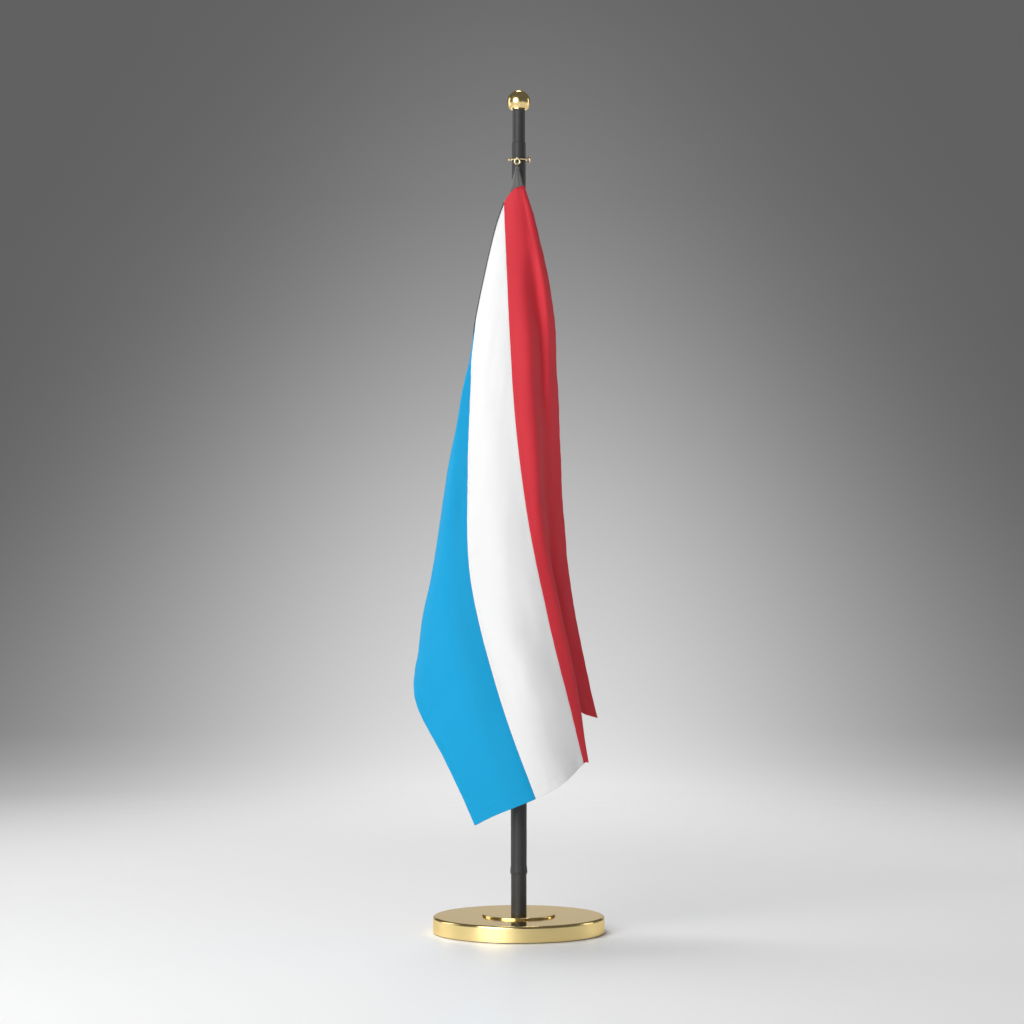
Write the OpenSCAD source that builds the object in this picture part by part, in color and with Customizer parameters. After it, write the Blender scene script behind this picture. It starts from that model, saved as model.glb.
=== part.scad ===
// Desk flag stand: a telescopic black pole on a weighted brass base, with a
// small three-striped flag hung by its top corner from a wire ring clip.
// Z is up. The origin is the middle of the underside of the base, and the
// flag hangs on the -Y side of the pole, which is the front.

/* [Base] */
// Diameter of the brass base
base_d = 86; // [84:1:92]
// Height of the flat top of the base
base_h = 8.4; // [8:0.1:10]
// Diameter of the raised boss
boss_d = 36.8; // [30:0.2:44]
// Height of the boss above the flat top
boss_h = 0.9; // [0.8:0.1:1.6]
// Wall thickness of the brass cover
cover_t = 1.6; // [1.4:0.1:1.8]
// Radius of the rounded outer edge of the cover
edge_r = 1.2; // [0.6:0.1:1.4]
// Thickness of the felt pad
pad_t = 1.2; // [1:0.1:1.4]
// How far the pad stands out below the rim of the cover
pad_proud = 0.4; // [0.3:0.1:0.6]

/* [Pole] */
// Outer diameter of the socket on the base
socket_d = 7.8; // [7.6:0.1:7.9]
// Height of the shoulder that the lower tube stands on
socket_top = 28.9; // [26:0.1:32]
// Outer diameter of the lower tube
lower_d = 8; // [8:0.1:8.4]
// Outer diameter of the middle tube
middle_d = 6.9; // [6.9:0.02:6.94]
// Outer diameter of the top tube
top_d = 6.25; // [6.2:0.01:6.26]
// Height of the mouth of the lower tube
lower_top = 170; // [150:1:180]
// Height of the mouth of the middle tube
middle_top = 396.2; // [394:0.1:398]
// Height of the end of the top tube
top_top = 412.6; // [412:0.1:414]
// Height of the tail of the middle tube
middle_tail = 92; // [92:1:110]
// Height of the tail of the top tube
top_tail = 334.5; // [320:0.5:340]

/* [Finial] */
// Diameter of the brass ball
ball_d = 11.5; // [11:0.1:12.5]
// Diameter of the collar under the ball
collar_d = 8.5; // [8:0.1:9]
// Thickness of the collar
collar_t = 0.6; // [0.4:0.1:1]

/* [Flag] */
// Thickness of the flag's cloth panels
cloth_t = 0.9; // [0.6:0.1:1]
// Height of the wire ring clip on the pole
clip_z = 387.5; // [387:0.1:388]
// Diameter of the wire of the ring clip
wire_d = 0.84; // [0.7:0.02:0.9]

/* [Hidden] */
$fn = 64;

brass = [0.86, 0.74, 0.42];
black = [0.09, 0.09, 0.1];
steel = [0.6, 0.6, 0.62];
grey_cloth = [0.5, 0.5, 0.49];

// Base, from the rim up
base_r = base_d / 2;
boss_r = boss_d / 2;
boss_top = base_h + boss_h;
lid_under = base_h - cover_t;
wall_in = base_r - cover_t;
boss_edge_r = 0.4;
side_gap = 0.2;
screw_r = 2.5;
screw_head_r = 4.6;
screw_head_h = 2;
washer_r = 6;
washer_t = 0.8;
washer_top = pad_t + 3.2;
screw_reach = 12;
hex_r = 1.75;

// Pole fits: each inner part runs in its tube with a few hundredths to spare
slide_gap = 0.05;
lower_bore = 3.55;
middle_bore = 3.2;
top_bore = 2.7;
lip_h = 1.5;
lip_chamfer = 0.3;
spigot_h = 16;
spigot_chamfer = 1;
vent_r = 1;
ferrule_step = 0.5;

// Finial
stud_r = 1.9;
stud_gap = 0.05;
stud_engaged = 8;
insert_h = 10;
ball_r = ball_d / 2;
collar_top = top_top + collar_t;
ball_sink = 3.25;
ball_z = collar_top + ball_sink;

// Ring clip, with a ball on one side, a loop on the other and a bead in
// front, all soldered to the wire ring; the eye hangs from the bead
wire_r = wire_d / 2;
clip_r = middle_d / 2 + slide_gap + wire_r;
clip_ball_r = 0.7;
clip_ball_at = [-4.7, 0, clip_z];
loop_r = 1.4;
loop_wire_r = 0.35;
loop_turn = 24;
loop_at = [5, -0.2, clip_z - 0.1];
bead_r = 0.8;
bead_at = [-0.75, -4.75, clip_z + 0.15];
eye_r = 1.25;
eye_wire_r = 0.45;
eye_at = [-0.75, -4.85, bead_at[2] - 0.3 - eye_r];
tie_r = 1.35;
tie_wire_r = 0.2;
tie_at = [-0.75, -5.1, eye_at[2] - 1.8];
tab_t = 0.6;
tab_y = -3.85;

// The drape of the flag: each column runs from the hoist to the fly at one
// share of the flag's height, from the free edge of the red stripe to the
// free edge of the blue one. Columns 0, 4, 6 and 9 are the stripe edges.
DRAPE = [
    [[2.8, -4.8, 374], [11.5, -3.4, 343], [17.5, -0.6, 311], [19.6, 4, 277], [21, 8, 243],
     [22.6, 10, 209], [26, 11, 175], [32.1, 11.5, 141], [40, 12, 106.6]],
    [[1.8, -5.6, 373.6], [9.4, -7.4, 342], [14.2, -5.6, 309], [15.8, -2.2, 276], [16.6, 2.5, 242],
     [18, 4, 208], [21.4, 5.5, 174], [27, 6.5, 141], [34.1, 7, 108.5]],
    [[0.2, -6.1, 373.2], [6, -7.7, 341], [10.2, -5, 308], [11.8, -3.2, 275], [12.4, -3, 241],
     [13.6, -2, 207], [16, -1, 174], [20.5, -0.5, 142], [26.5, 0.5, 111]],
    [[-2.4, -6.2, 372], [1, -10, 338], [4, -13.4, 305], [6.7, -14.3, 271], [9.4, -15, 237],
     [12.2, -14, 203], [19.5, -12, 167], [28, -10, 129], [34.3, -9, 88]],
    [[-7.4, -5, 365], [-6, -10, 332], [-4.5, -13, 299], [-2.4, -15, 264], [1.2, -16.5, 230],
     [6.5, -17.5, 196], [13.8, -17.6, 161.5], [23, -16, 123], [32.3, -13, 85.5]],
    [[-13, -3.5, 347], [-14, -8, 320], [-14.5, -11, 288], [-13.5, -14, 255], [-12, -17, 221],
     [-8.5, -20, 187], [-1.5, -23, 151], [8.5, -24, 114], [21.5, -22, 76]],
    [[-21.5, 0, 307], [-23.5, -3, 286], [-24.6, -6, 262], [-25.4, -9, 234], [-25.6, -12, 204],
     [-23.5, -16, 174], [-16.5, -20, 143], [-6, -23, 108], [8.4, -24, 69]],
    [[-22, 5, 292], [-28.3, -1, 270], [-32, -3, 246], [-34.5, -6, 220], [-36.2, -9, 194],
     [-35.8, -13, 167], [-31, -17, 138], [-20, -20, 103], [-2, -22, 64.5]],
    [[-19, 10, 275], [-27.6, 9, 252], [-34.8, 8, 229], [-39.6, 6, 204], [-44, 3, 179],
     [-47.4, 0, 155], [-44.5, -5, 127], [-31.5, -11, 96], [-12, -17, 60]],
    [[-10, 16, 258], [-16, 24, 238], [-24, 27, 216], [-32, 25, 193], [-40, 20, 169],
     [-49, 12, 145], [-52.6, 3, 117.8], [-37.8, -5, 88.5], [-22, -12, 54.6]]
];
COLUMNS = len(DRAPE) - 1;

// Point at u from 0 to 1 on a smooth curve through the points p
function between(p, i) = i < 0 ? 2 * p[0] - p[1] : i >= len(p) ? 2 * p[i - 1] - p[i - 2] : p[i];
function spline(a, b, c, d, f) =
    (2 * b + (c - a) * f + (2 * a - 5 * b + 4 * c - d) * f * f
     + (3 * b - a - 3 * c + d) * f * f * f) / 2;
function on_curve(p, u) =
    let (x = u * (len(p) - 1), i = min(max(floor(x), 0), len(p) - 2))
    spline(between(p, i - 1), between(p, i), between(p, i + 1), between(p, i + 2), x - i);
// Point of the flag, s from hoist to fly and c in columns
function on_flag(s, c) = on_curve([for (column = DRAPE) on_curve(column, s)], c / COLUMNS);
function flag_normal(s, c) =
    let (d = 0.02, n = cross(on_flag(s, c + d) - on_flag(s, c - d),
                             on_flag(s + d / 4, c) - on_flag(s - d / 4, c)))
    n / norm(n);

// Closed solid between two grids of points with the same number of rows
module quilt(front, back) {
    rows = len(front);
    cols = len(front[0]);
    side = rows * cols;
    rim = concat(
        [for (j = [0:cols - 2]) [0, j]], [for (i = [0:rows - 2]) [i, cols - 1]],
        [for (j = [cols - 1:-1:1]) [rows - 1, j]], [for (i = [rows - 1:-1:1]) [i, 0]]);
    function at(k) = rim[k % len(rim)][0] * cols + rim[k % len(rim)][1];
    polyhedron(
        points = [for (grid = [front, back]) for (row = grid) for (p = row) p],
        faces = concat(
            [for (i = [0:rows - 2]) for (j = [0:cols - 2])
                for (f = [[0, 1, cols], [1, cols + 1, cols]]) [for (k = f) i * cols + j + k]],
            [for (i = [0:rows - 2]) for (j = [0:cols - 2])
                for (f = [[0, cols, 1], [1, cols, cols + 1]]) [for (k = f) side + i * cols + j + k]],
            [for (k = [0:len(rim) - 1]) for (f = [[at(k), side + at(k), at(k + 1)],
                [at(k + 1), side + at(k), side + at(k + 1)]]) f]));
}

// One stripe of the flag between two columns of the drape
module panel(from, to) {
    rows = 32;
    cols = (to - from) * 3;
    function sheet(out) =
        [for (i = [0:rows]) [for (j = [0:cols])
            let (s = i / rows, c = from + (to - from) * j / cols)
            on_flag(s, c) + out * cloth_t / 2 * flag_normal(s, c)]];
    quilt(sheet(1), sheet(-1));
}

module ring(centre_r, section_r) {
    rotate_extrude() translate([centre_r, 0]) circle(section_r);
}

module tube(outer_r, inner_r, from, to) {
    translate([0, 0, from]) difference() {
        cylinder(r = outer_r, h = to - from);
        translate([0, 0, -1]) cylinder(r = inner_r, h = to - from + 2);
    }
}

// Tube whose mouth is rolled in to guide the tube that slides in it
module rolled_tube(outer_r, inner_r, lip_r, from, to) {
    rotate_extrude() polygon([
        [inner_r, from], [outer_r, from], [outer_r, to - lip_chamfer], [outer_r - lip_chamfer, to],
        [lip_r, to], [lip_r, to - lip_h], [inner_r, to - lip_h]]);
}

// Plug in the tail of a tube, with a flange that runs in the tube round it
module tail_bush(stem_r, stem_h, flange_r, flange_h, groove_r, groove_h, top) {
    translate([0, 0, top]) difference() {
        union() {
            cylinder(r = stem_r, h = stem_h);
            translate([0, 0, -flange_h]) cylinder(r = flange_r, h = flange_h);
        }
        translate([0, 0, -flange_h - 1]) cylinder(r = vent_r, h = flange_h + stem_h + 2);
        translate([0, 0, -flange_h / 2 - groove_h / 2])
            tube(flange_r + 1, groove_r, 0, groove_h);
    }
}

module base_cover() {
    color(brass) rotate_extrude() difference() {
        union() {
            square([base_r - edge_r, base_h]);
            square([base_r, base_h - edge_r]);
            translate([base_r - edge_r, base_h - edge_r]) circle(edge_r);
            square([boss_r - boss_edge_r, boss_top]);
            square([boss_r, boss_top - boss_edge_r]);
            translate([boss_r - boss_edge_r, boss_top - boss_edge_r]) circle(boss_edge_r);
        }
        translate([-1, -1]) square([base_r + 2, 1 + pad_proud]);
        translate([-1, -1]) square([wall_in + 1, 1 + lid_under]);
        translate([-1, -1]) square([boss_r - cover_t + 1, 1 + boss_top - cover_t]);
        translate([-1, -1]) square([screw_r + slide_gap + 1, boss_top + 2]);
    }
}

module ballast_disc() {
    color(steel) difference() {
        union() {
            translate([0, 0, pad_t]) cylinder(r = wall_in - side_gap, h = lid_under - pad_t);
            translate([0, 0, lid_under])
                cylinder(r = boss_r - cover_t - side_gap, h = boss_h);
        }
        cylinder(r = screw_r + slide_gap, h = base_h + 2);
        cylinder(r = washer_r + side_gap, h = washer_top);
    }
}

module base_pad() {
    color([0.13, 0.13, 0.14]) cylinder(r = wall_in - side_gap, h = pad_t);
}

module socket_screw() {
    color(steel) difference() {
        union() {
            translate([0, 0, washer_top - washer_t - screw_head_h])
                cylinder(r = screw_head_r, h = screw_head_h);
            translate([0, 0, washer_top - washer_t])
                cylinder(r = screw_r, h = boss_top + screw_reach - washer_top + washer_t);
        }
        translate([0, 0, washer_top - washer_t - screw_head_h - 1])
            cylinder(r = hex_r, h = 1 + screw_head_h * 0.6, $fn = 6);
    }
}

module socket_washer() {
    color(steel) tube(washer_r, screw_r + slide_gap, washer_top - washer_t, washer_top);
}

module pole_socket() {
    color(black) difference() {
        rotate_extrude() polygon([
            [0, boss_top], [socket_d / 2, boss_top], [socket_d / 2, socket_top],
            [lower_bore - slide_gap, socket_top],
            [lower_bore - slide_gap, socket_top + spigot_h - spigot_chamfer],
            [lower_bore - slide_gap - spigot_chamfer, socket_top + spigot_h],
            [0, socket_top + spigot_h]]);
        translate([0, 0, boss_top - 1]) cylinder(r = screw_r, h = screw_reach + 2);
    }
}

module lower_tube() {
    color(black) rolled_tube(lower_d / 2, lower_bore, middle_d / 2 + slide_gap,
                             socket_top + ferrule_step, lower_top);
}

module lower_ferrule() {
    flare_r = lower_d / 2 + 0.3;
    color(black) translate([0, 0, socket_top]) rotate_extrude() polygon([
        [lower_bore, 0], [socket_d / 2 + 0.05, 0], [flare_r, 1.2], [flare_r, 1.8],
        [lower_d / 2 + 0.1, 4.2], [lower_d / 2, 4.2], [lower_d / 2, ferrule_step],
        [lower_bore, ferrule_step]]);
}

module middle_tube() {
    color(black) rolled_tube(middle_d / 2, middle_bore, top_d / 2 + slide_gap / 2,
                             middle_tail, middle_top);
}

module middle_tail_bush() {
    color(brass) tail_bush(middle_bore - 0.02, 7, lower_bore - 0.03, 6, 2.9, 1.6, middle_tail);
}

module middle_friction_ring() {
    color([0.05, 0.05, 0.05]) translate([0, 0, middle_tail - 3]) ring(3.235, 0.3);
}

module top_tube() {
    color(black) tube(top_d / 2, top_bore, top_tail, top_top);
}

module top_tail_bush() {
    color(brass) tail_bush(top_bore - 0.02, 6, middle_bore - 0.03, 4, 2.55, 1.4, top_tail);
}

module top_friction_ring() {
    color([0.05, 0.05, 0.05]) translate([0, 0, top_tail - 2]) ring(2.885, 0.295);
}

module finial_insert() {
    color(brass) tube(top_bore - 0.02, stud_r + stud_gap, top_top - insert_h, top_top);
}

module finial_collar() {
    color(brass) tube(collar_d / 2, stud_r + stud_gap, top_top, collar_top);
}

module finial_ball() {
    color(brass) difference() {
        translate([0, 0, ball_z]) sphere(ball_r, $fn = 96);
        translate([0, 0, collar_top - ball_r]) cylinder(r = ball_r, h = ball_r);
        translate([0, 0, collar_top - 1]) cylinder(r = stud_r, h = 1 + ball_sink + 2);
    }
}

module finial_stud() {
    color(steel) translate([0, 0, top_top - stud_engaged])
        cylinder(r = stud_r, h = stud_engaged + collar_t + ball_sink + 2);
}

module ring_clip() {
    color(brass) translate([0, 0, clip_z]) ring(clip_r, wire_r);
}

module clip_ball() {
    color(brass) translate(clip_ball_at) sphere(clip_ball_r);
}

module clip_loop() {
    color(brass) translate(loop_at) rotate([0, 90, loop_turn]) ring(loop_r, loop_wire_r);
}

module clip_bead() {
    color(brass) translate(bead_at) sphere(bead_r);
}

module hanging_eye() {
    color(brass) translate(eye_at) rotate([90, 0, 0]) ring(eye_r, eye_wire_r);
}

module tie_loop() {
    color(grey_cloth) translate(tie_at) rotate([0, 90, 0]) ring(tie_r, tie_wire_r);
}

// Grey corner of the heading, gathered to a point at the tie
module corner_tab() {
    color(grey_cloth) difference() {
        translate([0, tab_y, 0]) rotate([90, 0, 0]) linear_extrude(tab_t) polygon([
            [-1.7, 384], [-0.2, 384], [0.2, 380.5], [2.2, 375], [2.2, 371.5],
            [-4, 366.5], [-7.2, 362], [-7.6, 365.5], [-4.6, 374], [-2.6, 380.5]]);
        translate([tie_at[0], tab_y + 1, tie_at[2] - 0.85]) rotate([90, 0, 0])
            cylinder(r = 0.5, h = 3);
    }
}

// Narrow tape sewn behind the hoist edge, from the tab down to the far corner
module heading_tape() {
    from = 4.1;
    steps = 30;
    lap = [0.6, 0.7, 0];
    across = [2.6, 3.6, 0.4];
    depth = [-0.45, 0.35, 0];
    function edge(k) =
        [for (i = [0:steps]) let (p = on_flag(0, from + (COLUMNS - from) * i / steps) + lap)
            [p + k * depth, p + k * depth + across]];
    color(grey_cloth) quilt(edge(0), edge(1));
}

module red_panel() {
    color([0.86, 0.23, 0.29]) panel(0, 4);
}

module white_panel() {
    color([0.96, 0.96, 0.96]) panel(4, 6);
}

module blue_panel() {
    color([0.13, 0.66, 0.87]) panel(6, COLUMNS);
}

base_cover();
ballast_disc();
base_pad();
socket_screw();
socket_washer();
pole_socket();
lower_tube();
lower_ferrule();
middle_tube();
middle_tail_bush();
middle_friction_ring();
top_tube();
top_tail_bush();
top_friction_ring();
finial_insert();
finial_collar();
finial_ball();
finial_stud();
ring_clip();
clip_ball();
clip_loop();
clip_bead();
hanging_eye();
tie_loop();
corner_tab();
heading_tape();
red_panel();
white_panel();
blue_panel();
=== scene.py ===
"""Looks of the desk flag stand: polished brass, satin black tubes and three sewn satin stripes."""

import math

import bmesh
import bpy
from mathutils import Matrix, Vector, noise


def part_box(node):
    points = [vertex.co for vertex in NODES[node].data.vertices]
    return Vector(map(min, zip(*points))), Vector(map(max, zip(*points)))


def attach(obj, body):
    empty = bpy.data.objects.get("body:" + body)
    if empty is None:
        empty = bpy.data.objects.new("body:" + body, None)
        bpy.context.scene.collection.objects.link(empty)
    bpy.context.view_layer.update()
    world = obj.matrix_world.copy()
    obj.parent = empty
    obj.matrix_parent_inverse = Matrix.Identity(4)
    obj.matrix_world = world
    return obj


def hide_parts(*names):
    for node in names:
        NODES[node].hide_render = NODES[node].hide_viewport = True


bl_info = {
    "name": "Desk Flag Stand",
    "version": (1, 0, 0),
    "blender": (4, 5, 0),
    "location": "3D View > Sidebar > Flag Stand",
    "description": "Builds the finish, the cloth and the studio of a desk flag stand",
    "category": "Object",
}

MM = 0.001
EULER = 2.718
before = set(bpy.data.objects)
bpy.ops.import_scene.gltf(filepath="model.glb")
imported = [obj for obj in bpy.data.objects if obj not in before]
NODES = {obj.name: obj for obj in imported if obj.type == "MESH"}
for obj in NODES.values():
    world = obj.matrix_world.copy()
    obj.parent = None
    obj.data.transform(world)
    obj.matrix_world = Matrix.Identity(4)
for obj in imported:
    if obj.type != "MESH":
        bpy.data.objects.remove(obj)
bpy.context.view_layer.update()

# The drape of the flag in millimetres: each column runs from the hoist to the
# fly, at the shares of the flag's height that COLUMN_SHARES names.
DRAPE = [
    [(2.8, -4.8, 374), (11.5, -3.4, 343), (17.5, -0.6, 311), (19.6, 4, 277), (21, 8, 243),
     (22.6, 10, 209), (26, 11, 175), (32.1, 11.5, 141), (40, 12, 106.6)],
    [(1.8, -5.6, 373.6), (9.4, -7.4, 342), (14.2, -5.6, 309), (15.8, -2.2, 276), (16.6, 2.5, 242),
     (18, 4, 208), (21.4, 5.5, 174), (27, 6.5, 141), (34.1, 7, 108.5)],
    [(0.2, -6.1, 373.2), (6, -7.7, 341), (10.2, -5, 308), (11.8, -3.2, 275), (12.4, -3, 241),
     (13.6, -2, 207), (16, -1, 174), (20.5, -0.5, 142), (26.5, 0.5, 111)],
    [(-2.4, -6.2, 372), (1, -10, 338), (4, -13.4, 305), (6.7, -14.3, 271), (9.4, -15, 237),
     (12.2, -14, 203), (19.5, -12, 167), (28, -10, 129), (34.3, -9, 88)],
    [(-7.4, -5, 365), (-6, -10, 332), (-4.5, -13, 299), (-2.4, -15, 264), (1.2, -16.5, 230),
     (6.5, -17.5, 196), (13.8, -17.6, 161.5), (23, -16, 123), (32.3, -13, 85.5)],
    [(-13, -3.5, 347), (-14, -8, 320), (-14.5, -11, 288), (-13.5, -14, 255), (-12, -17, 221),
     (-8.5, -20, 187), (-1.5, -23, 151), (8.5, -24, 114), (21.5, -22, 76)],
    [(-21.5, 0, 307), (-23.5, -3, 286), (-24.6, -6, 262), (-25.4, -9, 234), (-25.6, -12, 204),
     (-23.5, -16, 174), (-16.5, -20, 143), (-6, -23, 108), (8.4, -24, 69)],
    [(-22, 5, 292), (-28.3, -1, 270), (-32, -3, 246), (-34.5, -6, 220), (-36.2, -9, 194),
     (-35.8, -13, 167), (-31, -17, 138), (-20, -20, 103), (-2, -22, 64.5)],
    [(-19, 10, 275), (-27.6, 9, 252), (-34.8, 8, 229), (-39.6, 6, 204), (-44, 3, 179),
     (-47.4, 0, 155), (-44.5, -5, 127), (-31.5, -11, 96), (-12, -17, 60)],
    [(-10, 16, 258), (-16, 24, 238), (-24, 27, 216), (-32, 25, 193), (-40, 20, 169),
     (-49, 12, 145), (-52.6, 3, 117.8), (-37.8, -5, 88.5), (-22, -12, 54.6)],
]
COLUMN_SHARES = (0, 1 / 12, 1 / 6, 1 / 4, 1 / 3, 1 / 2, 2 / 3, 7 / 9, 8 / 9, 1)
STRIPES = ("red", "white", "blue")

# Creases of the cloth: noise cells per metre down and along, noise layer, height in metres.
CREASES = ((55, 38, 3, 0.0008), (150, 85, 9, 0.00016))
CREASES_SET_IN = 0.012  # distance from the hoist at which the creases are at full height
PUCKER_REACH = 0.0045  # how far a sewn line puckers the cloth beside it
PUCKER_RATE = 760  # radians per metre along the sewn line
PUCKER_SWAY = 90  # radians per metre of the slow change in that rate
PUCKER_HEIGHT = 0.00007
GATHER_ALONG, GATHER_DOWN = 0.022, 0.05  # reach of the gathers from the tied corner
GATHER_RATE = 900
GATHER_HEIGHT = 0.00004

STEP_DOWN, STEP_ALONG = 0.0014, 0.002  # longest steps of the flag's mesh
EDGE_ROUND = 0.00035  # width over which the cloth thins to its edge
EDGE_THIN = 0.12  # share of the thickness left at the very edge
FOLD_STEP = 0.0004  # width over which one layer of a fold rises
GROOVE_WIDTH, GROOVE_DEPTH = 0.0003, 0.00005  # line between two stripes
STITCH_INSET = 0.0007  # distance of the stitches from the edge of their fold
STITCH_START = 0.002  # distance of the first stitch from the hoist
STITCH_SHARE = 0.42  # half a stitch's length as a share of the stitch's pitch
STITCH_WIDE, STITCH_HIGH = 0.00008, 0.00005  # half a stitch's width and height

TIE_STEPS, TIE_TWISTS = 144, 11  # steps and twists of the tie's strands in one turn of the ring
WHIPPING_FOOT = (-0.00075, -0.00452, 0.38245)  # middle of the whipping's lower end
WHIPPING_RADII = (0.00098, 0.00062)
WHIPPING_TURNS, WHIPPING_STEPS = 4, 24
TIE_COLOUR = (0.24, 0.24, 0.235)

# Sockets of the Mix node in its colour mode, whose names are shared with its other modes.
MIX_FACTOR, MIX_FIRST, MIX_SECOND = 0, 6, 7
MIX_RESULT = 2

# Each light's name, shape, place, width, height and power.
LIGHTS = (
    ("key", "ELLIPSE", (-1.0, -1.5, 0.74), 1.7, 1.7, 27),
    ("left_panel", "RECTANGLE", (-1.25, 0.55, 0.5), 0.6, 1.0, 3),
    ("right_panel", "RECTANGLE", (1.25, 0.55, 0.5), 0.35, 0.8, 1.4),
    ("back_panel", "RECTANGLE", (0, 1.9, 0.3), 1.6, 0.45, 0.85),
    ("top", "ELLIPSE", (-0.5, 0.6, 1.85), 1.0, 1.0, 20),
    ("crown", "ELLIPSE", (0, 1.15, 1.7), 0.5, 0.5, 3),
    ("floor_wash", "RECTANGLE", (-0.75, -0.55, 0.9), 0.5, 0.5, 1.0),
)
LIGHT_TARGET, LIGHT_SPREAD = (0, 0, 0.2), 180
WASH_TARGET, WASH_SPREAD = (-0.5, -0.4, 0), 75
SENSOR_WIDTH = 36

# Greys of the backdrop from low to high, in the middle of a glow and between two of them.
GLOW_GREYS = [
    (0.0, 0.83), (0.03, 0.84), (0.075, 0.887), (0.106, 0.838), (0.138, 0.777), (0.169, 0.734),
    (0.201, 0.7), (0.243, 0.67), (0.328, 0.6), (0.413, 0.516), (0.476, 0.444), (0.54, 0.377),
    (0.603, 0.316), (0.666, 0.267), (0.729, 0.226), (0.833, 0.183), (0.933, 0.15)]
DARK_GREYS = [
    (0.0, 0.78), (0.03, 0.7), (0.075, 0.42), (0.106, 0.3), (0.138, 0.17), (0.169, 0.1),
    (0.243, 0.095), (0.328, 0.093), (0.413, 0.092), (0.54, 0.103), (0.666, 0.114), (0.933, 0.119)]


class FlagStandMetal(bpy.types.PropertyGroup):
    """Colours of the metal finishes."""

    brass: bpy.props.FloatVectorProperty(
        name="Brass", description="Reflected colour of the polished brass",
        subtype="COLOR", size=3, min=0, max=1, default=(0.91, 0.7, 0.32))
    black: bpy.props.FloatVectorProperty(
        name="Black", description="Colour of the lacquer on the tubes",
        subtype="COLOR", size=3, min=0, max=1, default=(0.036, 0.035, 0.036))


class FlagStandCloth(bpy.types.PropertyGroup):
    """Sizes and colours of the flag."""

    height: bpy.props.FloatProperty(
        name="Height", description="Height of the flat flag along the hoist",
        subtype="DISTANCE", unit="LENGTH", default=0.13)
    length: bpy.props.FloatProperty(
        name="Length", description="Length of the flat flag from hoist to fly",
        subtype="DISTANCE", unit="LENGTH", default=0.26)
    thickness: bpy.props.FloatProperty(
        name="Thickness", description="Thickness of one layer of the satin",
        subtype="DISTANCE", unit="LENGTH", default=0.00026)
    hem: bpy.props.FloatProperty(
        name="Hem", description="Width of the folded hems",
        subtype="DISTANCE", unit="LENGTH", default=0.005)
    seam: bpy.props.FloatProperty(
        name="Seam", description="Half the width of the flat seams between the stripes",
        subtype="DISTANCE", unit="LENGTH", default=0.0025)
    stitch: bpy.props.FloatProperty(
        name="Stitch", description="Length of one stitch",
        subtype="DISTANCE", unit="LENGTH", default=0.0022)
    red: bpy.props.FloatVectorProperty(
        name="Red", description="Colour of the first stripe",
        subtype="COLOR", size=3, min=0, max=1, default=(0.7, 0.038, 0.056))
    white: bpy.props.FloatVectorProperty(
        name="White", description="Colour of the middle stripe",
        subtype="COLOR", size=3, min=0, max=1, default=(0.86, 0.86, 0.86))
    blue: bpy.props.FloatVectorProperty(
        name="Blue", description="Colour of the last stripe",
        subtype="COLOR", size=3, min=0, max=1, default=(0.001, 0.335, 0.64))


class FlagStandHeading(bpy.types.PropertyGroup):
    """Sizes and colours of the heading and its tie."""

    tape: bpy.props.FloatProperty(
        name="Tape", description="Width of the heading tape on the back of the hoist",
        subtype="DISTANCE", unit="LENGTH", default=0.0055)
    thickness: bpy.props.FloatProperty(
        name="Thickness", description="Thickness of the heading cloth",
        subtype="DISTANCE", unit="LENGTH", default=0.0004)
    thread: bpy.props.FloatProperty(
        name="Thread", description="Thickness of one strand of the tie",
        subtype="DISTANCE", unit="LENGTH", default=0.00021)
    tab_colour: bpy.props.FloatVectorProperty(
        name="Tab colour", description="Colour of the gathered corner tab",
        subtype="COLOR", size=3, min=0, max=1, default=(0.155, 0.155, 0.153))
    tape_colour: bpy.props.FloatVectorProperty(
        name="Tape colour", description="Colour of the heading tape",
        subtype="COLOR", size=3, min=0, max=1, default=(0.06, 0.06, 0.06))


class FlagStandStage(bpy.types.PropertyGroup):
    """Camera, floor and lights."""

    camera_distance: bpy.props.FloatProperty(
        name="Camera distance", description="Distance from the camera to the pole",
        subtype="DISTANCE", unit="LENGTH", default=1.578)
    camera_height: bpy.props.FloatProperty(
        name="Camera height", description="Height of the level camera above the floor",
        subtype="DISTANCE", unit="LENGTH", default=0.21075)
    camera_side: bpy.props.FloatProperty(
        name="Camera side step", description="How far the camera stands to the right of the pole",
        subtype="DISTANCE", unit="LENGTH", default=-0.0034)
    lens: bpy.props.FloatProperty(
        name="Lens", description="Focal length of the camera", subtype="DISTANCE_CAMERA",
        unit="CAMERA", default=110.6)
    floor_radius: bpy.props.FloatProperty(
        name="Floor radius", description="Radius at which the floor has faded into the backdrop",
        subtype="DISTANCE", unit="LENGTH", default=0.85)
    floor: bpy.props.FloatVectorProperty(
        name="Floor", description="Colour of the floor",
        subtype="COLOR", size=3, min=0, max=1, default=(0.9, 0.9, 0.9))


class Number:
    """A number in a shader tree, on which sums are written as on any number."""

    def __init__(self, finish, socket):
        self.finish = finish
        self.socket = socket

    def _math(self, operation, *values):
        return self.finish.node("ShaderNodeMath", {"operation": operation}, dict(enumerate(values)))

    def __add__(self, other):
        return self._math("ADD", self, other)

    __radd__ = __add__

    def __sub__(self, other):
        return self._math("SUBTRACT", self, other)

    def __rsub__(self, other):
        return self._math("SUBTRACT", other, self)

    def __mul__(self, other):
        return self._math("MULTIPLY", self, other)

    __rmul__ = __mul__

    def __truediv__(self, other):
        return self._math("DIVIDE", self, other)

    def __pow__(self, other):
        return self._math("POWER", self, other)

    def __rpow__(self, other):
        return self._math("POWER", other, self)

    def sine(self):
        return self._math("SINE", self)

    def clamped(self):
        return self.finish.node("ShaderNodeClamp", {}, {"Value": self})


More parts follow.
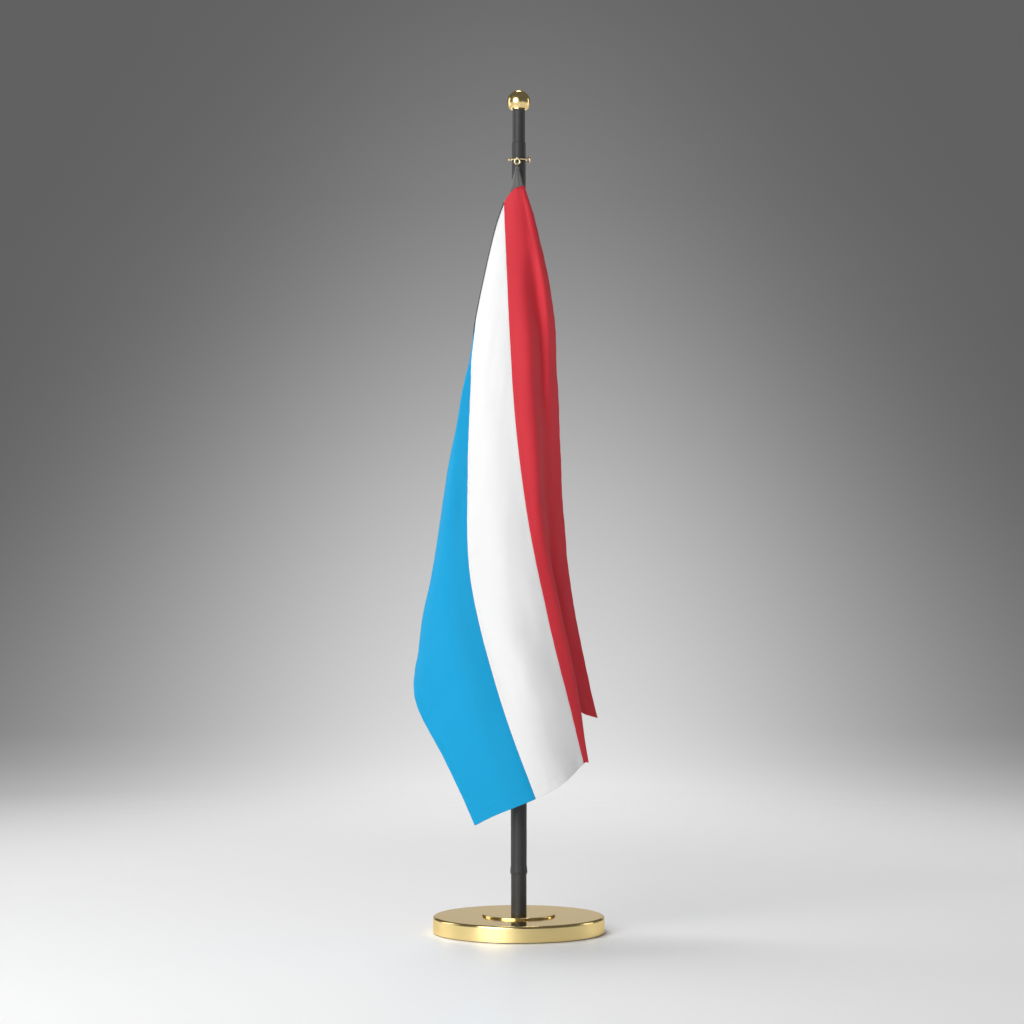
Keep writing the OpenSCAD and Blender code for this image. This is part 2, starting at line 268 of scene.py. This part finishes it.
class Finish:
    """A material or world and the short hand for its nodes."""

    def __init__(self, owner):
        owner.use_nodes = True
        self.owner = owner
        self.tree = owner.node_tree
        self.tree.nodes.clear()

    def node(self, kind, settings, inputs, output=0):
        made = self.tree.nodes.new(kind)
        for name, value in settings.items():
            if name == "stops":
                self._set_stops(made.color_ramp, value)
            else:
                setattr(made, name, value)
        for name, value in inputs.items():
            if isinstance(value, Number):
                self.tree.links.new(value.socket, made.inputs[name])
            else:
                made.inputs[name].default_value = value
        return Number(self, made.outputs[output]) if made.outputs else made

    def _set_stops(self, ramp, stops):
        while len(ramp.elements) < len(stops):
            ramp.elements.new(0.5)
        for element, (place, grey) in zip(ramp.elements, stops):
            element.position = place
            element.color = (grey, grey, grey, 1)

    def place(self):
        return self.node("ShaderNodeTexCoord", {}, {}, "Object")

    def split(self, vector):
        parts = self.node("ShaderNodeSeparateXYZ", {}, {"Vector": vector})
        node = parts.socket.node
        return [Number(self, node.outputs[i]) for i in range(3)]

    def noise(self, vector, scale, detail=3, roughness=0.5):
        return self.node("ShaderNodeTexNoise", {}, {
            "Vector": vector, "Scale": scale, "Detail": detail, "Roughness": roughness})

    def stretched(self, vector, scale):
        return self.node("ShaderNodeMapping", {}, {"Vector": vector, "Scale": scale})

    def mix(self, factor, first, second):
        colours = [value if isinstance(value, Number) else (*value, 1) for value in (first, second)]
        return self.node("ShaderNodeMix", {"data_type": "RGBA"}, {
            MIX_FACTOR: factor, MIX_FIRST: colours[0], MIX_SECOND: colours[1]}, MIX_RESULT)

    def bump(self, height, strength, distance):
        return self.node("ShaderNodeBump", {}, {
            "Height": height, "Strength": strength, "Distance": distance})

    def surface(self, inputs):
        shader = self.node("ShaderNodeBsdfPrincipled", {}, inputs)
        self.node("ShaderNodeOutputMaterial", {}, {"Surface": shader})
        return self.owner


def new_finish(name):
    return Finish(bpy.data.materials.new(name))


def polished_brass(colour, name, polish, marks=0.02, brushed_with_painted_reflection_below=0.0):
    """Lacquered brass with faint turning marks round the pole's axis, brushed below a given height and
    painted lighter there as a painted reflection of the bright floor.
    """
    finish = new_finish(name)
    place = finish.place()
    x, y, z = finish.split(place)
    radius = (x * x + y * y) ** 0.5
    turning = (radius * 9000 + z * 9000).sine()
    smudge = finish.noise(place, 55, 4, 0.6)
    fine = finish.noise(place, 900, 2)
    # mask of the brushed band below the given height; it roughens the brass and also carries the painted
    # reflection
    brushed_with_painted_reflection = ((brushed_with_painted_reflection_below - z) * 2000).clamped()
    tint = finish.mix(finish.noise(place, 30, 2), tuple(c * 0.97 for c in colour), colour)
    # painted reflection: the brushed band is painted lighter than the rest of the brass
    tint = finish.mix(brushed_with_painted_reflection, tint, tuple(min(1, c * 1.13) for c in colour))
    return finish.surface({
        "Base Color": tint, "Metallic": 1.0, "Specular Tint": (1.0, 0.9, 0.7, 1),
        "Roughness": polish + 0.2 * brushed_with_painted_reflection + 0.06 * (smudge - 0.45) + 0.02 * fine,
        "Normal": finish.bump(turning * 0.5 + fine * 0.5, marks, 0.0002)})


def turned_brass(colour):
    """Unlacquered brass off the lathe, with plain turning grooves."""
    finish = new_finish("Turned brass")
    place = finish.place()
    x, y, z = finish.split(place)
    groove = ((x * x + y * y) ** 0.5 * 30000 + z * 30000).sine()
    dull = finish.noise(place, 400, 3)
    tint = finish.mix(dull, tuple(c * 0.7 for c in colour), tuple(c * 0.9 for c in colour))
    return finish.surface({
        "Base Color": tint, "Metallic": 1.0, "Roughness": 0.22 + 0.2 * dull,
        "Normal": finish.bump(groove, 0.15, 0.0001)})


def satin_black(colour, name="Satin black lacquer"):
    """Black lacquer with a fine orange peel and lighter rubbed streaks along the tube."""
    finish = new_finish(name)
    place = finish.place()
    peel = finish.noise(place, 1400, 2)
    streak = finish.noise(finish.stretched(place, (900, 900, 25)), 1, 3)
    rubbed = finish.node("ShaderNodeValToRGB", {"stops": [(0.5, 0.0), (0.78, 1.0)]}, {"Fac": streak})
    tint = finish.mix(rubbed * 0.5, colour, tuple(c * 2.2 for c in colour))
    return finish.surface({
        "Base Color": tint, "Roughness": 0.42 + 0.1 * streak, "Specular IOR Level": 0.4,
        "Normal": finish.bump(peel, 0.06, 0.0002)})


def cast_iron():
    """Rough grey iron of the ballast."""
    finish = new_finish("Cast iron")
    place = finish.place()
    grain = finish.noise(place, 700, 5, 0.65)
    tint = finish.mix(finish.noise(place, 120, 3), (0.1, 0.1, 0.105), (0.2, 0.19, 0.18))
    return finish.surface({
        "Base Color": tint, "Metallic": 0.7, "Roughness": 0.5 + 0.25 * grain,
        "Normal": finish.bump(grain, 0.5, 0.0004)})


def plated_steel():
    """Zinc plated steel of the fasteners."""
    finish = new_finish("Plated steel")
    place = finish.place()
    spangle = finish.noise(place, 500, 3)
    tint = finish.mix(spangle, (0.5, 0.5, 0.52), (0.7, 0.71, 0.74))
    return finish.surface({
        "Base Color": tint, "Metallic": 1.0, "Roughness": 0.2 + 0.2 * spangle,
        "Normal": finish.bump(spangle, 0.1, 0.0002)})


def friction_rubber():
    """Dull black rubber."""
    finish = new_finish("Rubber")
    place = finish.place()
    grain = finish.noise(place, 2500, 3)
    tint = finish.mix(grain, (0.012, 0.012, 0.012), (0.03, 0.03, 0.03))
    return finish.surface({
        "Base Color": tint, "Roughness": 0.62 + 0.2 * grain, "Normal": finish.bump(grain, 0.3, 0.0002)})


def felt():
    """Pressed black felt."""
    finish = new_finish("Felt")
    place = finish.place()
    fibre = finish.noise(place, 1800, 5, 0.7)
    clump = finish.noise(place, 250, 3)
    tint = finish.mix(clump, (0.012, 0.012, 0.014), (0.04, 0.04, 0.044))
    return finish.surface({
        "Base Color": tint, "Roughness": 0.95, "Sheen Weight": 0.4,
        "Normal": finish.bump(fibre + clump, 0.8, 0.0004)})


def woven(name, colour, pitch, flat_size, roughness=0.62, relief=0.1, sheen=0.03):
    """Cloth whose threads follow the sheet's own map; pitch is the distance between threads."""
    finish = new_finish(name)
    place = finish.node("ShaderNodeUVMap", {"uv_map": "Flat"}, {})
    across, along, _ = finish.split(place)
    turns = 2 * math.pi / pitch
    weave = (across * (turns * flat_size[0])).sine() * (along * (turns * flat_size[1])).sine()
    slub = finish.noise(finish.stretched(place, (flat_size[0] * 2500, flat_size[1] * 180, 1)), 1, 4)
    cloud = finish.noise(finish.stretched(place, (flat_size[0] * 90, flat_size[1] * 90, 1)), 1, 3)
    shade = finish.mix(cloud * 0.6 + slub * 0.4, tuple(c * 0.95 for c in colour), colour)
    return finish.surface({
        "Base Color": shade, "Roughness": roughness + 0.1 * (slub - 0.5),
        "Specular IOR Level": 0.2, "Sheen Weight": sheen, "Sheen Roughness": 0.5,
        "Normal": finish.bump(weave * 0.4 + slub * 0.5 + cloud * 0.8, relief, 0.0002)})


def thread(name, colour):
    """Fuzzy spun thread."""
    finish = new_finish(name)
    place = finish.place()
    fibre = finish.noise(place, 6000, 3, 0.6)
    tint = finish.mix(fibre, tuple(c * 0.75 for c in colour), colour)
    return finish.surface({
        "Base Color": tint, "Roughness": 0.7 + 0.1 * fibre, "Specular IOR Level": 0.2,
        "Normal": finish.bump(fibre, 0.4, 0.00005)})


def spline(points, share):
    """Point at a share from 0 to 1 along a smooth curve through evenly spaced points."""
    last = len(points) - 1
    x = min(max(share, 0), 1) * last
    i = min(int(x), last - 1)
    f = x - i
    b, c = points[i], points[i + 1]
    a = points[i - 1] if i else 2 * b - c
    d = points[i + 2] if i + 2 <= last else 2 * c - b
    return (2 * b + (c - a) * f + (2 * a - 5 * b + 4 * c - d) * f * f
            + (3 * b - a - 3 * c + d) * f ** 3) / 2


def column_at(share):
    """Place of a share of the flag's height among the columns, from 0 to 1."""
    last = len(COLUMN_SHARES) - 1
    for i in range(last):
        if share <= COLUMN_SHARES[i + 1]:
            step = COLUMN_SHARES[i + 1] - COLUMN_SHARES[i]
            return (i + (share - COLUMN_SHARES[i]) / step) / last
    return 1.0


LINES = [[Vector(point) * MM for point in column] for column in DRAPE]


def hang(across, along):
    """Point of the smooth hanging flag at shares of its height and length."""
    return spline([spline(line, along) for line in LINES], column_at(across))


def pucker_beside(distance, run, phase):
    """Height of the puckers at a distance from a sewn line and a way along it, in metres."""
    pull = math.exp(-(distance / PUCKER_REACH) ** 2)
    return pull * math.sin(run * PUCKER_RATE + 2 * math.sin(run * PUCKER_SWAY + phase)) * PUCKER_HEIGHT


def ripple(across, along, flat):
    """Height of the small creases above the smooth drape, in metres."""
    down, out = across * flat[0], along * flat[1]
    settle = min(1, out / CREASES_SET_IN)
    soft = 0
    for down_cells, out_cells, layer, height in CREASES:
        soft += noise.noise(Vector((down * down_cells, out * out_cells, layer))) * height
    pucker = 0
    for seam in (0, flat[0] / 3, flat[0] * 2 / 3, flat[0]):
        pucker += pucker_beside(down - seam, out, seam * 50)
    pucker += pucker_beside(out - flat[1], down, 0)
    reach = math.exp(-out / GATHER_ALONG) * math.exp(-(down / GATHER_DOWN) ** 2)
    gather = reach * math.cos(down * GATHER_RATE) * GATHER_HEIGHT
    return settle * (soft + pucker) + gather


def rippled(across, along, flat):
    """Point on the creased flag, and its outward direction there."""
    step = 0.004
    above, below = max(across - step, 0), min(across + step, 1)
    near, far = max(along - step, 0), min(along + step, 1)
    down_cloth = hang(below, along) - hang(above, along)
    along_cloth = hang(across, far) - hang(across, near)
    out = down_cloth.cross(along_cloth).normalized()
    return hang(across, along) + out * ripple(across, along, flat), out


def grid_normals(grid):
    """Unit normals of a grid of points, by the lines through each point."""
    rows, columns = len(grid) - 1, len(grid[0]) - 1
    normals = []
    for i in range(rows + 1):
        above, below = grid[max(i - 1, 0)], grid[min(i + 1, rows)]
        normals.append([
            (grid[i][min(j + 1, columns)] - grid[i][max(j - 1, 0)])
            .cross(below[j] - above[j]).normalized() for j in range(columns + 1)])
    return normals


def with_even_steps(marks, step):
    """The marks and even steps no longer than the given one between them."""
    lines = []
    for start, end in zip(marks, marks[1:]):
        parts = max(1, math.ceil((end - start) / step - 1e-6))
        lines += [start + (end - start) * k / parts for k in range(parts)]
    return lines + [marks[-1]]


def ease(value):
    """Smooth step from 0 at 0 to 1 at 1."""
    value = min(max(value, 0), 1)
    return value * value * (3 - 2 * value)


def sheet_shell(front, back, shares):
    """Closed shell between two grids of points, mapped by its shares of height and length."""
    rows, columns = len(front) - 1, len(front[0]) - 1
    made = bmesh.new()
    bmesh.ops.create_grid(made, x_segments=columns, y_segments=rows, size=0.5)
    cell = made.verts.layers.int.new("cell")
    for vert in made.verts:
        row, column = round((0.5 - vert.co.y) * rows), round((vert.co.x + 0.5) * columns)
        vert[cell] = row * (columns + 1) + column
    for face in made.faces:
        face.smooth = True
    sides = made.faces[:]
    raised = bmesh.ops.extrude_face_region(made, geom=sides, use_keep_orig=True)["geom"]
    sides += [part for part in raised if isinstance(part, bmesh.types.BMFace)]
    for face in set(made.faces).difference(sides):
        face.smooth = False
    raised_verts = [part for part in raised if isinstance(part, bmesh.types.BMVert)]
    for side, grid in ((made.verts, front), (raised_verts, back)):
        for vert in side:
            row, column = divmod(vert[cell], columns + 1)
            vert.co = grid[row][column]
    bmesh.ops.recalc_face_normals(made, faces=made.faces)
    flat_map = made.loops.layers.uv.new("Flat")
    for face in made.faces:
        for loop in face.loops:
            row, column = divmod(loop.vert[cell], columns + 1)
            loop[flat_map].uv = shares(row, column)
    made.verts.layers.int.remove(cell)
    return made


def line_of_stitches(made, points, length):
    """Adds a stitch to a bmesh at each point, given as place, direction and outward direction."""
    for place, ahead, out in points:
        ahead = (ahead - out * ahead.dot(out)).normalized()
        turn = Matrix((ahead, out.cross(ahead), out)).transposed().to_4x4()
        size = Matrix.Diagonal((length * STITCH_SHARE, STITCH_WIDE, STITCH_HIGH, 1))
        bmesh.ops.create_icosphere(
            made, subdivisions=1, radius=1, matrix=Matrix.Translation(place) @ turn @ size)
    for face in made.faces:
        face.smooth = True


def new_piece(name, mesh_source, body, finish):
    """Object made from a bmesh, riding on a body and given the finish."""
    mesh = bpy.data.meshes.new(name)
    mesh_source.to_mesh(mesh)
    mesh_source.free()
    piece = bpy.data.objects.new(name, mesh)
    bpy.context.scene.collection.objects.link(piece)
    mesh.materials.append(finish)
    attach(piece, body)
    return piece


def repaint(finish, *names):
    """Gives every slot of the named CAD pieces one finish."""
    for name in names:
        for slot in NODES[name].material_slots:
            slot.material = finish


class FLAGSTAND_OT_base(bpy.types.Operator):
    """Finishes the weighted brass base and what is inside it"""

    bl_idname = "flag_stand.base"
    bl_label = "Base"

    def execute(self, context):
        metal = context.scene.flag_stand_metal
        # the side wall below 7.5 mm is brushed and painted lighter, a painted reflection of the floor in
        # front of it
        repaint(polished_brass(tuple(metal.brass), "Base brass", 0.12, brushed_with_painted_reflection_below=0.0075), "base_cover")
        repaint(satin_black(tuple(metal.black), "Socket lacquer"), "pole_socket")
        repaint(cast_iron(), "ballast_disc")
        repaint(plated_steel(), "socket_screw", "socket_washer", "finial_stud")
        repaint(felt(), "base_pad")
        return {"FINISHED"}


class FLAGSTAND_OT_pole(bpy.types.Operator):
    """Finishes the three tubes of the telescopic pole and their friction fittings"""

    bl_idname = "flag_stand.pole"
    bl_label = "Pole"

    def execute(self, context):
        metal = context.scene.flag_stand_metal
        repaint(satin_black(tuple(metal.black)), "lower_tube", "lower_ferrule", "middle_tube", "top_tube")
        repaint(turned_brass(tuple(metal.brass)), "middle_tail_bush", "top_tail_bush", "finial_insert")
        repaint(friction_rubber(), "middle_friction_ring", "top_friction_ring")
        return {"FINISHED"}


class FLAGSTAND_OT_brightwork(bpy.types.Operator):
    """Finishes the finial and the ring clip"""

    bl_idname = "flag_stand.brightwork"
    bl_label = "Finial and clip"

    def execute(self, context):
        brass = tuple(context.scene.flag_stand_metal.brass)
        repaint(polished_brass(brass, "Finial brass", 0.17), "finial_collar", "finial_ball")
        pale = tuple(c + (0.9 - c) * 0.25 for c in brass)
        repaint(polished_brass(pale, "Brass wire", 0.16, 0.05), "ring_clip", "clip_ball",
                "clip_loop", "clip_bead", "hanging_eye")
        return {"FINISHED"}


class FLAGSTAND_OT_flag(bpy.types.Operator):
    """Hangs the three sewn stripes of the flag, with their hems, seams and stitches"""

    bl_idname = "flag_stand.flag"
    bl_label = "Flag"

    def execute(self, context):
        cloth = context.scene.flag_stand_cloth
        flat = (cloth.height, cloth.length)
        hem, seam = cloth.hem, cloth.seam
        # close lines where the cloth rounds off at its edges and steps up to its folds
        edge = [0, 0.00012, EDGE_ROUND, 0.001, hem - 0.0009, hem - 0.0002, hem + 0.0002]
        joint = [-seam - 0.0002, -seam + 0.0002, -0.0004, 0, 0.0004, seam - 0.0002, seam + 0.0002]
        marks = edge + [flat[0] / 3 + d for d in joint] + [flat[0] * 2 / 3 + d for d in joint]
        across = with_even_steps(marks + [flat[0] - d for d in reversed(edge)], STEP_DOWN)
        along = with_even_steps([0] + [flat[1] - d for d in reversed(edge)], STEP_ALONG)
        smooth = [[hang(a / flat[0], b / flat[1]) for a in across] for b in along]
        out = grid_normals(smooth)
        creased = [[point + out[i][j] * ripple(across[j] / flat[0], along[i] / flat[1], flat)
                    for j, point in enumerate(row)] for i, row in enumerate(smooth)]
        out = grid_normals(creased)
        front = [[point + out[i][j] * self.lift(across[j], along[i], cloth, True)
                  for j, point in enumerate(row)] for i, row in enumerate(creased)]
        back = [[point - out[i][j] * self.lift(across[j], along[i], cloth, False)
                 for j, point in enumerate(row)] for i, row in enumerate(creased)]
        first = 0
        for k, name in enumerate(STRIPES):
            colour = tuple(getattr(cloth, name))
            end = flat[0] * (k + 1) / 3
            last = min(range(len(across)), key=lambda j: abs(across[j] - end))
            rows = [[row[first:last + 1] for row in grid] for grid in (front, back)]
            made = sheet_shell(*rows, lambda i, j: (across[first + j] / flat[0], along[i] / flat[1]))
            finish = woven(f"{name.title()} satin", colour, 0.0004, flat)
            piece = new_piece(f"{name}_stripe", made, "flag", finish)
            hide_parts(f"{name}_panel")
            self.stitching(name, colour, across[first], across[last], cloth)
            first = last
        return {"FINISHED"}

    def lift(self, across, along, cloth, front):
        """Distance of a face of the cloth from its middle; the hems are folded to the back."""
        edge = min(across, cloth.height - across, cloth.length - along)
        inside = min(edge / EDGE_ROUND, 1)
        seam = min(abs(across - cloth.height / 3), abs(across - cloth.height * 2 / 3))
        hem_layer = ease((cloth.hem - edge) / FOLD_STEP + 0.5)
        seam_layer = ease((cloth.seam - seam) / FOLD_STEP + 0.5)
        folds = 0 if front else 2 * max(hem_layer, seam_layer)
        groove = GROOVE_DEPTH * math.exp(-(seam / GROOVE_WIDTH) ** 2) if front else 0
        height = cloth.thickness * (0.5 + folds) - groove
        return height * (EDGE_THIN + (1 - EDGE_THIN) * math.sqrt(1 - (1 - inside) ** 2))

    def stitching(self, name, colour, start, end, cloth):
        """Rows of stitches along both sides of a stripe and across its fly hem, on both faces."""
        flat = (cloth.height, cloth.length)
        near = start + ((cloth.hem if start == 0 else cloth.seam) - STITCH_INSET)
        far = end - ((cloth.hem if end > flat[0] * 0.9 else cloth.seam) - STITCH_INSET)
        fly = flat[1] - cloth.hem + STITCH_INSET
        count = int((fly - STITCH_START) / cloth.stitch)
        runs = [STITCH_START + (n + 0.5) * cloth.stitch for n in range(count)]
        spots = [(side, run, False) for side in (near, far) for run in runs]
        count = int((far - near) / cloth.stitch)
        spots += [(near + (n + 0.5) * cloth.stitch, fly, True) for n in range(count)]
        made = bmesh.new()
        for front in (True, False):
            points = []
            for across, along, turned in spots:
                place, out = rippled(across / flat[0], along / flat[1], flat)
                place += out * (1 if front else -1) * self.lift(across, along, cloth, front)
                step = (0.01, 0) if turned else (0, 0.005)
                here, there = across / flat[0], along / flat[1]
                ahead = hang(here + step[0], there + step[1]) - hang(here - step[0], there - step[1])
                points.append((place, ahead, out))
            line_of_stitches(made, points, cloth.stitch)
        return new_piece(f"{name}_stitching", made, "flag",
                         thread(f"{name.title()} thread", colour))


class FLAGSTAND_OT_heading(bpy.types.Operator):
    """Sews the heading tape and the gathered corner tab to the hoist"""

    bl_idname = "flag_stand.heading"
    bl_label = "Heading"

    def execute(self, context):
        cloth = context.scene.flag_stand_cloth
        heading = context.scene.flag_stand_heading
        flat = (cloth.height, cloth.length)
        tape = self.tape(flat, heading)
        self.tab(flat, heading)
        return {"FINISHED"}

    def tape(self, flat, heading):
        """Folds a tape over the hoist, from the corner tab down."""
        # distance inside the hoist and lift off the cloth, from the front lap round to the back
        path = [(0.0005, 0.00028), (0.0001, 0.00034), (-0.0003, 0.0003), (-0.0005, 0),
                (-0.0003, -0.0005), (0.0004, -0.0009), (heading.tape * 0.5, -0.00095),
                (heading.tape, -0.0009)]
        fold = path[3][0]
        rows = 90
        start = 0.335  # share of the hoist above the tape
        grids = []
        for thick in (0, heading.thickness):
            grid = []
            for i in range(rows + 1):
                across = start + (1 - start) * i / rows
                hoist, out = rippled(across, 0, flat)
                inward = (hang(across, 0.02) - hang(across, 0)).normalized()
                row = []
                for inside, lift in path:
                    if inside > 0:
                        place, out_there = rippled(across, inside / flat[1], flat)
                    else:
                        place, out_there = hoist + inward * inside, out
                    away = out_there if inside > -0.0004 and lift > 0 else -out_there
                    if inside == fold:
                        away = -inward
                    row.append(place + out_there * lift + away * thick * 0.5)
                grid.append(row)
            grids.append(grid)
        made = sheet_shell(*grids, lambda i, j: (j / (len(path) - 1), i / rows))
        size = (heading.tape + 0.0015, flat[0] * (1 - start))
        finish = woven("Heading tape", tuple(heading.tape_colour), 0.0007, size, 0.8, 0.4, 0.1)
        piece = new_piece("heading_tape_sewn", made, "flag", finish)
        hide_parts("heading_tape")
        return piece

    def tab(self, flat, heading):
        """Gathers a corner tab from the top of the hoist up to the tie."""
        rows, columns = 40, 72
        tied_at, tied_width = (-0.0001, -0.0044, 0.3836), 0.0013
        lap, behind = 0.0016, 0.00062  # where the tab's foot is sewn on, along and behind the cloth
        bulge_height = 0.0008
        pleats, pleat_depth = 3.5, 0.00022
        grids = []
        for side in (0.5, -0.5):
            grid = []
            for i in range(rows + 1):
                down = i / rows
                row = []
                for j in range(columns + 1):
                    share = j / columns
                    apex = Vector((tied_at[0] - tied_width * share, tied_at[1], tied_at[2]))
                    hoist, out = rippled(share / 3, lap / flat[1], flat)
                    foot = hoist - out * behind
                    place = apex.lerp(foot, down)
                    bulge = math.sin(math.pi * down) * math.sin(math.pi * share) * bulge_height
                    pleat = math.cos(2 * math.pi * pleats * share) * pleat_depth
                    pleat *= math.sin(math.pi * min(1, down + 0.12)) ** 0.7
                    edge = min(share, 1 - share) * 40
                    thick = heading.thickness * side * (0.3 + 0.7 * min(1, edge))
                    row.append(place + Vector((0, -1, 0.1)) * (bulge + pleat + thick))
                grid.append(row)
            grids.append(grid)
        made = sheet_shell(*grids, lambda i, j: (j / columns, i / rows))
        size = (0.011, 0.014)
        finish = woven("Corner tab", tuple(heading.tab_colour), 0.0006, size, 0.75, 0.3, 0.15)
        piece = new_piece("corner_tab_sewn", made, "flag", finish)
        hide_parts("corner_tab")


class FLAGSTAND_OT_tie(bpy.types.Operator):
    """Twists the thread that ties the corner tab to the hanging eye"""

    bl_idname = "flag_stand.tie"
    bl_label = "Tie"

    def execute(self, context):
        heading = context.scene.flag_stand_heading
        low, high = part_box("tie_loop")
        middle = (Vector(low) + Vector(high)) / 2
        radius = (high[2] - low[2]) / 2 - heading.thread
        curve = bpy.data.curves.new("tie", "CURVE")
        curve.dimensions = "3D"
        curve.bevel_depth = heading.thread / 2
        curve.bevel_resolution = 2
        for strand in (0, math.pi):
            points = []
            for n in range(TIE_STEPS):
                turn = 2 * math.pi * n / TIE_STEPS
                twist = TIE_TWISTS * turn + strand
                ring = Vector((0, math.cos(turn), math.sin(turn)))
                points.append(middle + ring * (radius + heading.thread / 2 * math.cos(twist))
                              + Vector((heading.thread / 2 * math.sin(twist), 0, 0)))
            self.strand(curve, points, True)
        # a short whipping round the gathered top of the tab
        whipping = []
        for n in range(WHIPPING_TURNS * WHIPPING_STEPS + 1):
            turn = 2 * math.pi * n / WHIPPING_STEPS
            whipping.append(Vector((
                WHIPPING_FOOT[0] + WHIPPING_RADII[0] * math.cos(turn),
                WHIPPING_FOOT[1] + WHIPPING_RADII[1] * math.sin(turn),
                WHIPPING_FOOT[2] + heading.thread * n / WHIPPING_STEPS)))
        self.strand(curve, whipping, False)
        shape = bpy.data.objects.new("tie", curve)
        context.scene.collection.objects.link(shape)
        made = bmesh.new()
        made.from_mesh(shape.to_mesh())
        shape.to_mesh_clear()
        bpy.data.objects.remove(shape)
        bmesh.ops.recalc_face_normals(made, faces=made.faces)
        for face in made.faces:
            face.smooth = True
        piece = new_piece("twisted_tie", made, "flag", thread("Tie thread", TIE_COLOUR))
        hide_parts("tie_loop")
        return {"FINISHED"}

    def strand(self, curve, points, closed):
        """Adds a round thread through the points to the curve."""
        line = curve.splines.new("POLY")
        line.points.add(len(points) - 1)
        for spot, point in zip(line.points, points):
            spot.co = (*point, 1)
        line.use_cyclic_u = closed
        curve.use_fill_caps = True


class FLAGSTAND_OT_stage(bpy.types.Operator):
    """Sets the floor, the backdrop light, the soft boxes and the camera"""

    bl_idname = "flag_stand.stage"
    bl_label = "Stage"

    def execute(self, context):
        stage = context.scene.flag_stand_stage
        self.floor(stage)
        self.backdrop()
        self.lights(context)
        self.camera(context, stage)
        context.scene.view_settings.view_transform = "Standard"
        return {"FINISHED"}

    def lights(self, context):
        """Places the lights, none in view of the camera and the top one in no reflection either."""
        for name, shape, place, wide, high, power in LIGHTS:
            wash = name == "floor_wash"
            light = bpy.data.lights.new(name, "AREA")
            light.shape = shape
            light.size = wide
            light.size_y = high
            light.energy = power
            light.spread = math.radians(WASH_SPREAD if wash else LIGHT_SPREAD)
            lamp = bpy.data.objects.new(name, light)
            context.scene.collection.objects.link(lamp)
            lamp.location = place
            aim = Vector(WASH_TARGET if wash else LIGHT_TARGET)
            lamp.rotation_euler = (aim - lamp.location).to_track_quat("-Z", "Y").to_euler()
            lamp.visible_camera = False
            lamp.visible_glossy = name != "top"

    def camera(self, context, stage):
        """Sets a level camera in front of the pole."""
        lens = bpy.data.cameras.new("camera")
        lens.lens = stage.lens
        lens.sensor_width = SENSOR_WIDTH
        camera = bpy.data.objects.new("camera", lens)
        context.scene.collection.objects.link(camera)
        camera.location = (stage.camera_side, -stage.camera_distance, stage.camera_height)
        camera.rotation_euler = (math.pi / 2, 0, 0)
        context.scene.camera = camera

    def floor(self, stage):
        """Lays a round floor that fades into the backdrop at its edge."""
        made = bmesh.new()
        bmesh.ops.create_circle(made, cap_ends=True, segments=128, radius=stage.floor_radius)
        mesh = bpy.data.meshes.new("floor")
        made.to_mesh(mesh)
        made.free()
        floor = bpy.data.objects.new("floor", mesh)
        bpy.context.scene.collection.objects.link(floor)
        finish = new_finish("Pale floor")
        x, y, _ = finish.split(finish.place())
        radius = (x * x + y * y) ** 0.5
        fade = ((stage.floor_radius - radius) / (stage.floor_radius * 0.6)).clamped()
        mesh.materials.append(finish.surface({
            "Base Color": (*stage.floor, 1), "Roughness": 0.4, "Specular IOR Level": 0.3,
            "Alpha": fade}))

    def backdrop(self):
        """Surrounds the stage with eight soft glows, one straight behind the stand in the front view."""
        world = bpy.data.worlds.new("Studio")
        bpy.context.scene.world = world
        finish = Finish(world)
        direction = finish.node("ShaderNodeTexCoord", {}, {}, "Generated")
        x, y, z = finish.split(direction)
        level = x * x + y * y + 0.0001
        aside = x * y * (y * y - x * x) / (level * level)
        rise = ((z + 0.12) / 0.3).clamped()
        middle = finish.node("ShaderNodeValToRGB", {"stops": GLOW_GREYS}, {"Fac": rise})
        edge = finish.node("ShaderNodeValToRGB", {"stops": DARK_GREYS}, {"Fac": rise})
        spread = 0.107 - 0.27 * z
        glow = EULER ** (0 - (aside * aside) / (spread * spread))
        colour = finish.mix(glow.clamped(), edge, middle)
        light = finish.node("ShaderNodeBackground", {}, {"Color": colour, "Strength": 1.0})
        finish.node("ShaderNodeOutputWorld", {}, {"Surface": light})


OPERATORS = (FLAGSTAND_OT_base, FLAGSTAND_OT_pole, FLAGSTAND_OT_brightwork, FLAGSTAND_OT_flag,
             FLAGSTAND_OT_heading, FLAGSTAND_OT_tie, FLAGSTAND_OT_stage)


class FLAGSTAND_PT_panel(bpy.types.Panel):
    """Lists the pieces of the flag stand and their settings"""

    bl_idname = "FLAGSTAND_PT_panel"
    bl_label = "Flag Stand"
    bl_space_type = "VIEW_3D"
    bl_region_type = "UI"
    bl_category = "Flag Stand"

    def draw(self, context):
        layout = self.layout
        for operator in OPERATORS:
            layout.operator(operator.bl_idname)
        for name in SETTINGS:
            group = getattr(context.scene, name)
            box = layout.box()
            for setting in group.bl_rna.properties:
                if setting.identifier not in ("rna_type", "name"):
                    box.prop(group, setting.identifier)


SETTINGS = {
    "flag_stand_metal": FlagStandMetal,
    "flag_stand_cloth": FlagStandCloth,
    "flag_stand_heading": FlagStandHeading,
    "flag_stand_stage": FlagStandStage,
}
CLASSES = (*SETTINGS.values(), *OPERATORS, FLAGSTAND_PT_panel)


def register():
    for cls in CLASSES:
        bpy.utils.register_class(cls)
    for name, group in SETTINGS.items():
        setattr(bpy.types.Scene, name, bpy.props.PointerProperty(type=group))


def unregister():
    for name in SETTINGS:
        delattr(bpy.types.Scene, name)
    for cls in reversed(CLASSES):
        bpy.utils.unregister_class(cls)


def main():
    register()
    for operator in OPERATORS:
        group, name = operator.bl_idname.split(".")
        getattr(getattr(bpy.ops, group), name)()


if __name__ == "__main__":
    main()
